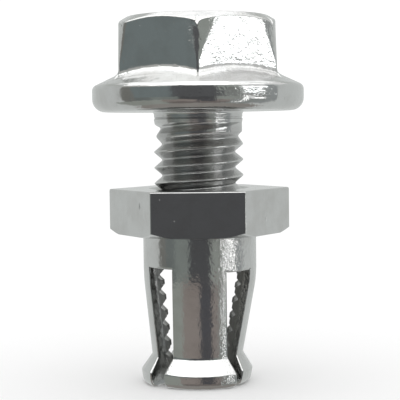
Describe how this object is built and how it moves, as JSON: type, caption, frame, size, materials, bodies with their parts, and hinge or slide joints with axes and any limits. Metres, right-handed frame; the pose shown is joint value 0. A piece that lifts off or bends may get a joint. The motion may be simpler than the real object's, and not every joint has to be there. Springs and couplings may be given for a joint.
{
  "type": "undercut anchor",
  "caption": "Undercut anchor for facade panels: a flanged hexagon bolt screwed into a hexagon-headed sleeve whose slotted, flared fingers it spreads.",
  "frame": {"origin": "on the anchor's axis, in the plane of the finger tips that it stands on", "axes": "+Z along the axis from the finger tips up to the bolt's head; a finger lies on each of +X, +Y, -X and -Y, and flats of the sleeve's hexagon face +Y and -Y"},
  "size_m": [0.0134, 0.0134, 0.0233],
  "materials": {
    "bolt_steel": "bright polished stainless steel with a rolled thread",
    "sleeve_steel": "bright turned stainless steel with sawn slots"
  },
  "bodies": {
    "sleeve": {"anchor_sleeve": "sleeve_steel"},
    "bolt": {"flange_bolt": "bolt_steel"}
  },
  "joints": [
    {"name": "bolt_travel", "type": "slide", "parent": "sleeve", "child": "bolt", "axis": [0, 0, 1], "range_m": [0, 0.006]}
  ]
}
